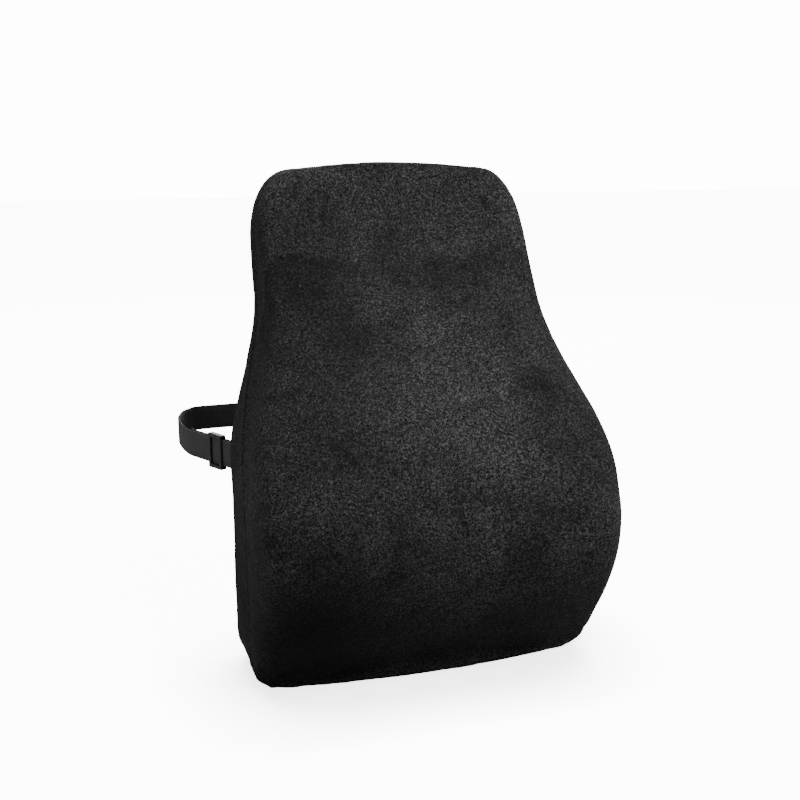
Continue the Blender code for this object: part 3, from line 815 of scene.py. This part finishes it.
def toothTree():
    tree, given = newTree("teethAlongTape", (
        ("Count", "NodeSocketInt", 10), ("Start", "NodeSocketVector", (0, 0, 0)),
        ("Pitch", "NodeSocketVector", (1 * mm, 0, 0))))
    line = addNode(tree, "GeometryNodeMeshLine", {
        "Count": given["Count"], "Start Location": given["Start"], "Offset": given["Pitch"]}, mode="OFFSET")
    row = addNode(tree, "GeometryNodeInstanceOnPoints", {
        "Points": line.outputs[0], "Instance": given["Geometry"]})
    return closeTree(tree, row.outputs[0], given["Material"])


stitchNodes, toothNodes = stitchTree(), toothTree()


def grow(name, source, tree, values, material):
    # Runs a tree on a source mesh and keeps the result as a plain piece
    holder = addPiece("source", source, material)
    modifier = holder.modifiers.new("nodes", "NODES")
    modifier.node_group = tree
    socket = {item.name: item.identifier for item in tree.interface.items_tree if item.in_out == "INPUT"}
    for label, value in values.items():
        modifier[socket[label]] = value
    modifier[socket["Material"]] = material
    holder.update_tag()
    bpy.context.view_layer.update()
    mesh = applied(holder)
    return addPiece(name, mesh, material)


def lineMesh(lines, closed=False):
    points, edges = [], []
    for line in lines:
        start = len(points)
        points += [tuple(p) for p in line]
        edges += [(start + k, start + k + 1) for k in range(len(line) - 1)]
        if closed:
            edges.append((len(points) - 1, start))
    mesh = bpy.data.meshes.new("line")
    mesh.from_pydata(points, edges, [])
    return mesh


seamThread = {"pitch": 3.2 * mm, "length": 2.8 * mm, "radius": 0.28 * mm, "rise": 0.1 * mm}
topStitch = {"pitch": 2.9 * mm, "length": 2.3 * mm, "radius": 0.30 * mm}


def sewLine(name, lines, look, closed=False, body="cushion", replaced=()):
    sizes = {"Pitch": look["pitch"], "Stitch Length": look["length"], "Thread Radius": look["radius"]}
    piece = grow(name, lineMesh(lines, closed), stitchNodes, sizes, thread)
    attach(piece, body)
    if replaced:
        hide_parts(*replaced)
    return piece


def makeSeams():
    middle = np.array((0.0, 0.0, cushion["centreHeight"]))
    for name, rim, node in (("frontSeamStitches", body["rim"], "front_seam_thread"),
                            ("backSeamStitches", body["backRim"], "back_seam_thread")):
        seam = coverPoints[rim]
        out = seam - middle
        out[:, 1] *= 0.0 if node.startswith("front") else 1.0
        out /= np.linalg.norm(out, axis=1)[:, None]
        line = seam + out * seamThread["rise"]
        line[:, 2] = np.maximum(line[:, 2], seamThread["radius"])
        sewLine(name, [line], seamThread, True, "cushion", (node,))
    # Two rows hold each zip tape, one above and one below the opening
    backFace = cushion["backPlane"] + zipPlace["hemRise"] + topStitch["radius"] * 0.4
    rows = []
    for sign in (-1, 1):
        z = zipPlace["height"] + sign * (zipPlace["slotRise"] + 3 * mm)
        rows.append([(x, backFace, z) for x in np.linspace(-zipPlace["halfSlot"], zipPlace["halfSlot"], 60)])
    for sign in (-1, 1):
        x = sign * (zipPlace["halfSlot"] + 1.5 * mm)
        z = zipPlace["slotRise"] + 3 * mm
        rows.append([(x, backFace, zipPlace["height"] + z * t) for t in (-1, -0.5, 0, 0.5, 1)])
    sewLine("zipTopStitches", rows, topStitch)
    print("seams: thread laid in both seams and round the zip")


makeSeams()


# Zip

zipLook = {"pitch": 1.3 * mm, "wire": 0.36 * mm, "voxel": 0.14 * mm}


def tubeMesh(path, radius, sides, closed=False):
    # A round wire along a path, its ends closed by flat caps
    count = len(path)
    points = [Vector(p) for p in path]
    rings, faces = [], []
    side = None
    for k, p in enumerate(points):
        before = points[k - 1] if closed or k else p
        after = points[(k + 1) % count] if closed or k < count - 1 else p
        along = (after - before).normalized()
        if side is None:
            side = along.orthogonal().normalized()
        side = (side - along * side.dot(along)).normalized()
        other = along.cross(side)
        for s in range(sides):
            turn = 2 * math.pi * s / sides
            rings.append(p + (side * math.cos(turn) + other * math.sin(turn)) * radius)
    spans = count if closed else count - 1
    for k in range(spans):
        a, b = k * sides, (k + 1) % count * sides
        for s in range(sides):
            n = (s + 1) % sides
            faces.append((a + s, a + n, b + n, b + s))
    if not closed:
        faces.append(tuple(range(sides))[::-1])
        faces.append(tuple((count - 1) * sides + s for s in range(sides)))
    return plainMesh("tube", rings, faces)


def makeCoils():
    for word, node, sign in (("Upper", "zip_coil_upper", 1), ("Lower", "zip_coil_lower", -1)):
        low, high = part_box(node)
        top, foot = high.y - zipLook["wire"], low.y + zipLook["wire"]
        tape = high.z if sign > 0 else low.z
        head = zipPlace["height"] + sign * 0.1 * mm
        near = head + sign * 0.5 * mm
        p = zipLook["pitch"]
        loop = [(0, foot, tape), (0.05 * p, (top + foot) / 2, tape + sign * 0.2 * mm),
                (0.12 * p, top, tape),
                (0.3 * p, top, near), (0.4 * p, (top + foot) / 2, head),
                (0.5 * p, foot, near), (p, foot, tape)]
        start = low.x + (0.5 * p if sign < 0 else 0.0)
        count = int((high.x - low.x) / p) - 1
        coil = grow("zipCoil" + word, tubeMesh(loop, zipLook["wire"], 6), toothNodes, {
            "Count": count, "Start": (start, 0.0, 0.0), "Pitch": (p, 0.0, 0.0)}, nylon)
        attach(coil, "cushion")
        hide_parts(node)


def castPiece(name, parts, cuts, voxel, smoothing, material):
    # Overlapping shapes fused and rounded as one casting
    bm = bmesh.new()
    for mesh in parts:
        bm.from_mesh(mesh)
        bpy.data.meshes.remove(mesh)
    piece = addPiece(name, fromBmesh(name, bm), material)
    remesh = piece.modifiers.new("fuse", "REMESH")
    remesh.mode = "VOXEL"
    remesh.voxel_size = voxel
    tools = [boolean(piece, "DIFFERENCE", mesh) for mesh in cuts]
    smooth = piece.modifiers.new("round", "SMOOTH")
    smooth.factor = 0.5
    smooth.iterations = smoothing
    mesh = applied(piece)
    for tool in tools:
        bpy.data.objects.remove(tool)
    return addPiece(name, mesh, material)


def platform(outlinePoints, low, high):
    # A plate whose outline lies in X and Z, from y = low to y = high
    count = len(outlinePoints)
    points = [(x, y, z) for y in (low, high) for x, z in outlinePoints]
    faces = [tuple(range(count)), tuple(range(count, 2 * count))[::-1]]
    faces += [(k, k + count, (k + 1) % count + count, (k + 1) % count) for k in range(count)]
    mesh = plainMesh("plate", points, faces)
    faceOutward(mesh)
    return mesh


def rodMesh(centre, radius, length, sides=20):
    bm = bmesh.new()
    bmesh.ops.create_cone(bm, cap_ends=True, segments=sides, radius1=radius, radius2=radius, depth=length,
                          matrix=Matrix.Translation(centre))
    return fromBmesh("rod", bm)


def makeSlider():
    low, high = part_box("zip_slider")
    pin = Vector(next(j["pos_m"] for j in frame["joints"] if j["name"] == "zip_pull_swing"))
    middle, z0 = (low.x + high.x) / 2, zipPlace["height"]
    half, wide = (high.x - low.x) / 2, (high.z - low.z) / 2
    # A shield: wide where the two rows of teeth enter, narrow where they leave as one
    right = [(-half, 0.0), (-half, 0.50 * wide), (-0.84 * half, 0.64 * wide), (0.1 * half, 0.86 * wide),
             (0.55 * half, wide), (0.85 * half, 0.92 * wide), (half, 0.55 * wide), (0.86 * half, 0.0)]
    shield = [(middle + x, z0 + z) for x, z in right] + [(middle + x, z0 - z) for x, z in right[-2:0:-1]]
    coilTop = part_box("zip_coil_upper")[1].y
    plateTop = coilTop + 1.1 * mm
    parts = [platform(shield, coilTop + 0.3 * mm, plateTop),
             platform(shield, low.y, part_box("zip_tape_upper")[0].y - 0.3 * mm),
             boxMesh((middle + 0.1 * mm, low.y, z0 - 0.22 * mm), (middle + 3 * mm, plateTop, z0 + 0.22 * mm))]
    inner = (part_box("zip_pull")[1].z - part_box("zip_pull")[0].z) / 2 + 0.3 * mm
    for sign in (-1, 1):
        z = sorted((z0 + sign * inner, z0 + sign * (inner + 1.0 * mm)))
        parts.append(boxMesh((middle - 1.2 * mm, plateTop - 0.3 * mm, z[0]),
                             (middle + 1.2 * mm, pin.y, z[1])))
        parts.append(rodMesh(Vector((pin.x, pin.y, sum(z) / 2)), 1.2 * mm, z[1] - z[0]))
    parts.append(rodMesh(pin, 0.5 * mm, 2 * inner + 1.0 * mm))
    slider = castPiece("zipSlider", parts, [], zipLook["voxel"], 6, castZinc)
    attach(slider, "zip_slider")
    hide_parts("zip_slider")

    low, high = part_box("zip_pull")
    thick = 0.6 * mm
    widest = (high.z - low.z) / 2
    tip = low.x
    tab = [(tip, 0.62), (tip + 0.7 * mm, 0.88), (tip + 1.6 * mm, 1.0),
           (pin.x - 6 * mm, 0.82), (pin.x - 0.9 * mm, 0.74)]
    plate = [(x, z0 + z * widest) for x, z in tab] + [(x, z0 - z * widest) for x, z in tab[::-1]]
    grip = [(tip + 2.4 * mm, 0.42), (tip + 3 * mm, 0.5), (pin.x - 7.2 * mm, 0.42), (pin.x - 6.6 * mm, 0.3)]
    window = [(x, z0 + z * widest) for x, z in grip] + [(x, z0 - z * widest) for x, z in grip[::-1]]
    pull = castPiece("zipPull", [platform(plate, pin.y - thick, pin.y + thick),
                                 rodMesh(pin, 1.5 * mm, 1.5 * widest)],
                     [rodMesh(pin, 0.75 * mm, 6 * widest),
                      platform(window, pin.y - 3 * thick, pin.y + 3 * thick)],
                     zipLook["voxel"], 6, castZinc)
    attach(pull, "zip_pull")
    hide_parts("zip_pull")
    for name, node in (("zipStopLeft", "zip_stop_left"), ("zipStopRight", "zip_stop_right")):
        low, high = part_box(node)
        side = (high.z - low.z) / 2
        parts = [boxMesh(low, high)]
        for z in (low.z + 0.35 * side, high.z - 0.35 * side):
            parts.append(boxMesh((low.x, low.y - 0.4 * mm, z - 0.2 * side), (high.x, high.y, z + 0.2 * side)))
        stop = castPiece(name, parts, [], zipLook["voxel"], 8, castZinc)
        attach(stop, "cushion")
        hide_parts(node)
    print("zip: coils, stops, slider and pull made")


makeCoils()
makeSlider()
weave = tapeMaterial()
for node in ("zip_tape_upper", "zip_tape_lower"):
    frame["nodes"][node].data.materials.clear()
    frame["nodes"][node].data.materials.append(weave)


# Strap: one strip of elastic, its tab, the ring between them and the slide adjuster

strap = {
    "height": 0.1875, "width": 0.025, "thickness": 1.2 * mm, "edgeRound": 0.5 * mm,
    "ringWire": 1.2 * mm, "ringInset": 0.0184, "ringReach": 0.0115, "ringTilt": 150.0, "ringCorner": 2.4 * mm,
    "gap": 0.3 * mm, "tabLength": 0.024, "endInset": 0.018, "landingBend": 0.012,
    "angle": 29.0, "straightRun": 0.064, "tailLength": 0.075, "loopReach": 0.170, "loopOverhang": 0.030,
    "ripple": 0.35 * mm, "ripplePitch": 38 * mm,
}


def arc(centre, radius, start, end, steps):
    turns = [start + (end - start) * k / steps for k in range(steps + 1)]
    return [centre + Vector((math.cos(t), math.sin(t))) * radius for t in turns]


def smoothPath(points, steps, firstWay, lastWay):
    # Catmull-Rom through the points, leaving and arriving along the given ways
    ends = [points[1] - firstWay * 2 * (points[1] - points[0]).length]
    ends += points + [points[-2] + lastWay * 2 * (points[-1] - points[-2]).length]
    path = []
    for a, b, c, d in zip(ends, ends[1:], ends[2:], ends[3:]):
        for k in range(steps):
            t = k / steps
            path.append((b * 2 + (c - a) * t + (a * 2 - b * 5 + c * 4 - d) * t ** 2
                         + (b * 3 - a - c * 3 + d) * t ** 3) / 2)
    return path + [points[-1]]


def offsetPath(path, distance):
    result = []
    for k, point in enumerate(path):
        along = (path[min(k + 1, len(path) - 1)] - path[max(k - 1, 0)]).normalized()
        result.append(point + Vector((-along.y, along.x)) * distance)
    return result


def evenPath(path, step):
    run = [0.0]
    for a, b in zip(path, path[1:]):
        run.append(run[-1] + (b - a).length)
    at = np.linspace(0.0, run[-1], max(int(run[-1] / step), 2) + 1)
    x = np.interp(at, run, [p.x for p in path])
    y = np.interp(at, run, [p.y for p in path])
    return [Vector(p) for p in zip(x, y)]


def stripMesh(name, path, low, high, thickness, seed):
    # A strip on edge with rounded selvages; its UV map runs in metres along and across it
    halfT, halfW, middle = thickness / 2, (high - low) / 2, (low + high) / 2
    r = strap["edgeRound"]
    across = [(halfT, -halfW + r), (halfT, -halfW / 2), (halfT, 0.0), (halfT, halfW / 2), (halfT, halfW - r),
              (halfT - 0.3 * r, halfW - 0.3 * r), (halfT - r, halfW), (r - halfT, halfW)]
    profile = across + [(-t, -w) for t, w in across]
    lengths = [0.0]
    for a, b in zip(path, path[1:]):
        lengths.append(lengths[-1] + (b - a).length)
    total = lengths[-1]
    points, faces, runs = [], [], []
    count = len(profile)
    for k, p in enumerate(path):
        along = (path[min(k + 1, len(path) - 1)] - path[max(k - 1, 0)]).normalized()
        side = Vector((-along.y, along.x))
        calm = min(1.0, lengths[k] / 0.05, (total - lengths[k]) / 0.05)
        wave = strap["ripple"] * noise.noise(Vector((lengths[k] / strap["ripplePitch"], seed, 0.0))) * calm
        for t, w in profile:
            q = p + side * t
            curl = 1.0 + 0.5 * wave / mm * (abs(w) / halfW) ** 3
            points.append((q.x + side.x * wave * curl, q.y + side.y * wave * curl, middle + w))
    for k in range(len(path) - 1):
        a, b = k * count, (k + 1) * count
        for s in range(count):
            n = (s + 1) % count
            faces.append((a + s, a + n, b + n, b + s))
            runs.append((k, s))
    faces += [tuple(range(count))[::-1], tuple((len(path) - 1) * count + s for s in range(count))]
    mesh = plainMesh(name, points, faces)
    # The girth of the strip up to each profile point, so the pattern wraps round the selvage
    girth = [0.0]
    for a, b in zip(profile, profile[1:] + profile[:1]):
        girth.append(girth[-1] + math.dist(a, b))
    layer = mesh.uv_layers.new(name="strip")
    for face, (k, s) in zip(mesh.polygons, runs):
        corners = ((k, s), (k, s + 1), (k + 1, s + 1), (k + 1, s))
        for loop, (row, column) in zip(face.loop_indices, corners):
            layer.data[loop].uv = (lengths[row], girth[column])
    faceOutward(mesh)
    return mesh


def boxCross(x0, x1, z0, z1, y):
    # Stitch lines of a sewn end: a box with its two diagonals
    corners = [(x0, y, z0), (x1, y, z0), (x1, y, z1), (x0, y, z1)]

    def run(a, b):
        return [tuple(a[i] + (b[i] - a[i]) * k / 6 for i in range(3)) for k in range(7)]

    lines = [run(a, b) for a, b in zip(corners, corners[1:] + corners[:1])]
    return lines + [run(corners[0], corners[2]), run(corners[1], corners[3])]


def makeStrap():
    low, high = strap["height"] - strap["width"] / 2, strap["height"] + strap["width"] / 2
    edge = float(halfWidth(strap["height"]))
    barGap = strap["ringWire"] + strap["gap"] + strap["thickness"] / 2
    sewnY = float(backCurve(high)) + strap["gap"] + strap["thickness"] / 2
    innerBar = Vector((-edge + strap["ringInset"], sewnY + barGap))
    turn, tilt = math.radians(strap["angle"]), math.radians(strap["ringTilt"])
    along = Vector((-math.sin(turn), math.cos(turn)))
    outerBar = innerBar + Vector((math.cos(tilt), math.sin(tilt))) * strap["ringReach"]

    tabEnd = innerBar.x + strap["tabLength"]
    fold = arc(innerBar, barGap, math.radians(270), math.radians(90), 24)
    # Its upper layer comes down on the lower one behind the ring
    settle = sewnY + strap["thickness"] + strap["gap"] / 2
    level = Vector((1.0, 0.0))
    upper = [fold[-1], Vector((innerBar.x + 5 * mm, sewnY + 1.75 * barGap)),
             Vector((innerBar.x + 11 * mm, settle + 0.1 * mm)), Vector((tabEnd, settle))]
    down = smoothPath(upper, 10, level, level)
    tab = [Vector((tabEnd, sewnY))] + fold + down[1:]
    piece = addPiece("strapTab", stripMesh("strapTab", evenPath(tab, 1.0 * mm), low, high,
                                           strap["thickness"], 5.0), webbing)
    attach(piece, "cushion")
    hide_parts("strap_tab_left")
    sewLine("strapTabStitches", boxCross(tabEnd - 11.5 * mm, tabEnd - 2 * mm, low + 2.5 * mm, high - 2.5 * mm,
                                         settle + strap["thickness"] / 2), topStitch)

    far, bulge = cushion["backPlane"] + strap["loopReach"], edge + strap["loopOverhang"]
    left = [outerBar + along * strap["straightRun"], Vector((-bulge, far - 0.055)),
            Vector((-bulge + 0.003, far - 0.030)), Vector((-bulge + 0.014, far - 0.009)),
            Vector((-bulge + 0.040, far - 0.001))]
    right = [Vector((-p.x, p.y)) for p in reversed(left)]
    arriving = Vector((along.x, -along.y))
    loop = smoothPath(left + [Vector((0.0, far))] + right, 24, along, arriving)
    centre = evenPath([outerBar, left[0]], 2 * mm)[:-1] + loop
    travelled, tailLine = 0.0, [centre[0]]
    for a, b in zip(centre, centre[1:]):
        travelled += (b - a).length
        if travelled > strap["tailLength"]:
            break
        tailLine.append(b)
    tail = offsetPath(tailLine, -barGap)[:0:-1]
    heading = math.atan2(along.y, along.x)
    turnRound = arc(outerBar, barGap, heading - math.pi / 2, heading - 3 * math.pi / 2, 24)
    outside = offsetPath(centre, barGap)[1:]
    sewnX = edge - strap["endInset"]
    bendCentre = Vector((sewnX, sewnY + strap["landingBend"]))
    headingIn = math.atan2(arriving.y, arriving.x)
    bend = arc(bendCentre, strap["landingBend"], headingIn + math.pi / 2, -math.pi / 2, 16)
    approach = smoothPath([outside[-1], bend[0]], 16, arriving, arriving)[1:-1]
    landed = sewnX - strap["tabLength"]
    path = tail + turnRound + outside + approach + bend + [Vector((landed, sewnY))]
    band = addPiece("strapBand", stripMesh("strapBand", evenPath(path, 1.6 * mm), low, high,
                                           strap["thickness"], 1.0), webbing)
    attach(band, "cushion")
    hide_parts("strap_band")
    sewLine("strapEndStitches", boxCross(landed + 2 * mm, landed + 18 * mm, low + 2.5 * mm, high - 2.5 * mm,
                                         sewnY + strap["thickness"] / 2), topStitch)

    rise, corner = strap["width"] / 2 + strap["gap"] + strap["ringWire"], strap["ringCorner"]
    across, reach = (outerBar - innerBar).normalized(), (outerBar - innerBar).length
    ring = []
    for x, z, start in ((reach - corner, rise - corner, 0), (corner, rise - corner, 90),
                        (corner, corner - rise, 180), (reach - corner, corner - rise, 270)):
        ring += arc(Vector((x, z)), corner, math.radians(start), math.radians(start + 90), 10)
    path = [(*(innerBar + across * p.x), strap["height"] + p.y) for p in ring]
    wire = addPiece("strapRing", tubeMesh(path, strap["ringWire"], 18, True), steelWire)
    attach(wire, "cushion")
    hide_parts("strap_ring")
    print("strap: %.0f mm of webbing laid" % (sum((b - a).length for a, b in zip(outside, outside[1:])) / mm))


adjuster = {"voxel": 0.3 * mm, "smoothing": 10}


def makeAdjuster():
    source = frame["nodes"]["tri_glide"].data.copy()
    bm = bmesh.new()
    bm.from_mesh(source)
    bmesh.ops.remove_doubles(bm, verts=bm.verts[:], dist=0.01 * mm)
    bm.to_mesh(source)
    bm.free()
    source.materials.clear()
    piece = castPiece("strapAdjuster", [source], [], adjuster["voxel"], adjuster["smoothing"], plastic)
    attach(piece, "strap_adjuster")
    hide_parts("tri_glide")
    print("adjuster: moulded from its frame and three bars")


makeStrap()
makeAdjuster()


# Studio: a pale floor, soft lights and the camera

studio = {
    "camera": (-0.2995, -0.9113, 0.4696), "heading": 17.43, "pitch": 13.34, "lens": 50.0,
    "floor": "#f4f4f4", "bounce": "#828282", "shadow": 3.5, "glow": 11.0,
    "shadowReach": 0.09, "backdrop": 14.0, "sky": 0.35,
}


def addLight(name, place, target, size, power):
    light = bpy.data.lights.new(name, "AREA")
    light.shape = "RECTANGLE"
    light.size, light.size_y = size
    light.energy = power
    lamp = bpy.data.objects.new(name, light)
    bpy.context.scene.collection.objects.link(lamp)
    lamp.location = place
    lamp.rotation_euler = (Vector(target) - Vector(place)).to_track_quat("-Z", "Y").to_euler()


def makeStudio():
    # White paper sweep: the lens sees it bright, and it throws little light back up
    floorMaterial, tree, shader = newMaterial("paperFloor", {
        "Roughness": 0.9, "Specular IOR Level": 0.1, "Emission Color": (1, 1, 1, 1)})
    seen = addNode(tree, "ShaderNodeLightPath").outputs["Is Camera Ray"]
    tone = addNode(tree, "ShaderNodeMix", {0: seen, 6: colour(studio["bounce"]), 7: colour(studio["floor"])},
                   data_type="RGBA")
    # Ambient occlusion dims the floor's glow near the cushion: a painted contact shadow
    near = addNode(tree, "ShaderNodeAmbientOcclusion", {"Distance": studio["shadowReach"]}, samples=16)
    light = addNode(tree, "ShaderNodeMapRange", {
        "Value": near.outputs["AO"], "From Min": 0.45, "To Min": studio["shadow"], "To Max": studio["glow"]})
    glow = addNode(tree, "ShaderNodeMath", {0: seen, 1: light.outputs["Result"]}, operation="MULTIPLY")
    tree.links.new(tone.outputs[2], shader.inputs["Base Color"])
    tree.links.new(glow.outputs[0], shader.inputs["Emission Strength"])
    corners = [(-8, -8, 0), (8, -8, 0), (8, 8, 0), (-8, 8, 0)]
    floor = addPiece("floor", plainMesh("floor", corners, [(0, 1, 2, 3)]), floorMaterial)
    world = bpy.data.worlds.new("studio")
    world.use_nodes = True
    tree = world.node_tree
    seen = addNode(tree, "ShaderNodeLightPath").outputs["Is Camera Ray"]
    level = addNode(tree, "ShaderNodeMapRange", {
        "Value": seen, "To Min": studio["sky"], "To Max": studio["backdrop"]})
    tree.nodes["Background"].inputs["Color"].default_value = (1, 1, 1, 1)
    tree.links.new(level.outputs["Result"], tree.nodes["Background"].inputs["Strength"])
    bpy.context.scene.world = world
    middle = (0.0, 0.0, 0.22)
    addLight("key", (0.75, -1.15, 1.9), middle, (0.9, 0.9), 60.0)
    addLight("fill", (-1.9, -0.3, 0.9), middle, (1.0, 1.0), 13.0)
    addLight("back", (0.7, 1.9, 1.3), middle, (1.2, 0.9), 55.0)
    lens = bpy.data.cameras.new("camera")
    lens.lens = studio["lens"]
    camera = bpy.data.objects.new("camera", lens)
    bpy.context.scene.collection.objects.link(camera)
    camera.location = studio["camera"]
    camera.rotation_euler = (math.radians(90 - studio["pitch"]), 0.0, math.radians(-studio["heading"]))
    bpy.context.scene.camera = camera


makeStudio()
